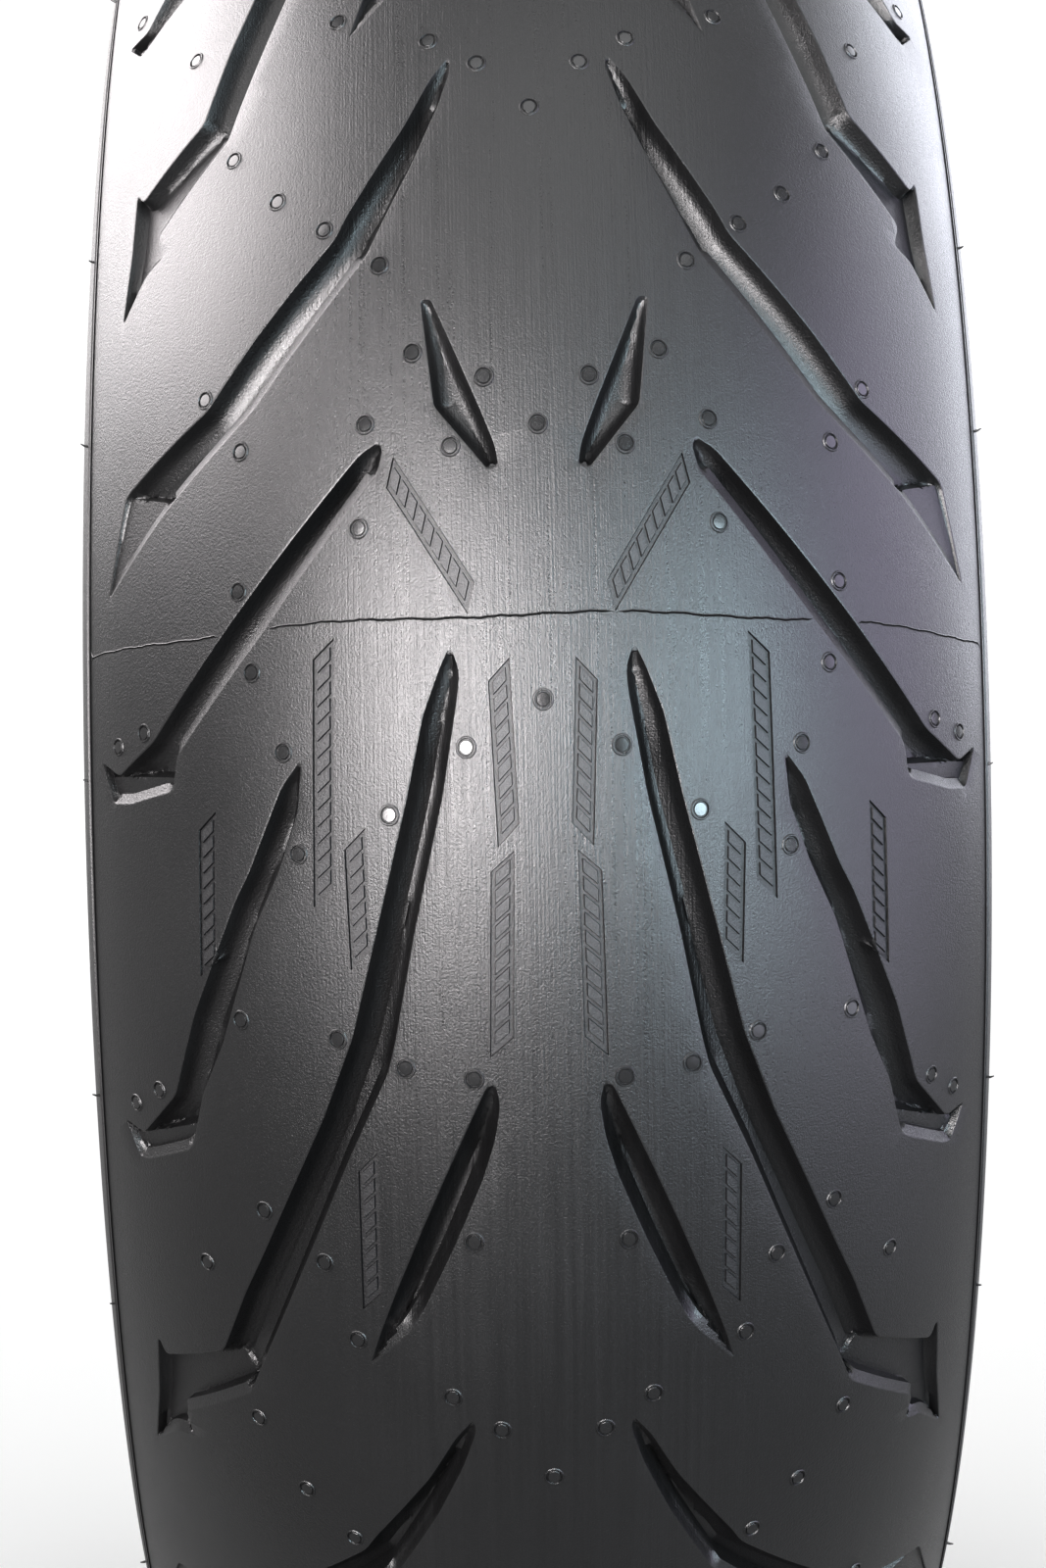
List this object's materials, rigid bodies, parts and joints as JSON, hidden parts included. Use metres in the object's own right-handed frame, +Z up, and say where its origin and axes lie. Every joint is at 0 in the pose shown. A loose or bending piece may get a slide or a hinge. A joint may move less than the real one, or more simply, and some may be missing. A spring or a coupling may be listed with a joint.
{
  "type": "motorcycle tire",
  "caption": "Bare rear motorcycle tire with a round crown, curved tread grooves, steel belt, two plies and wired beads.",
  "frame": {"origin": "wheel centre: on the axle line, halfway between the beads", "axes": "+Y along the axle, towards the right-hand bead; +Z up; +X level across the tyre"},
  "size_m": [0.6218, 0.1876, 0.6218],
  "materials": {
    "tread_rubber": "satin, fine machined lines and grain",
    "sidewall_rubber": "satin moulded",
    "liner_rubber": "dull, fine bladder lines",
    "bead_rubber": "satin moulded",
    "inner_rubber": "dull",
    "ply_fabric": "rubbered cord fabric",
    "steel_cord": "brass-coated wire"
  },
  "bodies": {
    "root": {"tread_cap": "tread_rubber", "tread_base": "inner_rubber", "belt_edge_cushion_left": "inner_rubber", "belt_edge_cushion_right": "inner_rubber", "belt_skim": "inner_rubber", "belt_cords": "steel_cord", "outer_ply": "ply_fabric", "inner_ply": "ply_fabric", "inner_liner": "liner_rubber", "sidewall_left": "sidewall_rubber", "sidewall_right": "sidewall_rubber", "rim_strip_left": "bead_rubber", "rim_strip_right": "bead_rubber", "chafer_left": "ply_fabric", "chafer_right": "ply_fabric", "bead_filler_left": "inner_rubber", "bead_filler_right": "inner_rubber", "bead_core_rubber_left": "inner_rubber", "bead_core_rubber_right": "inner_rubber", "bead_wires_left": "steel_cord", "bead_wires_right": "steel_cord"}
  },
  "joints": []
}
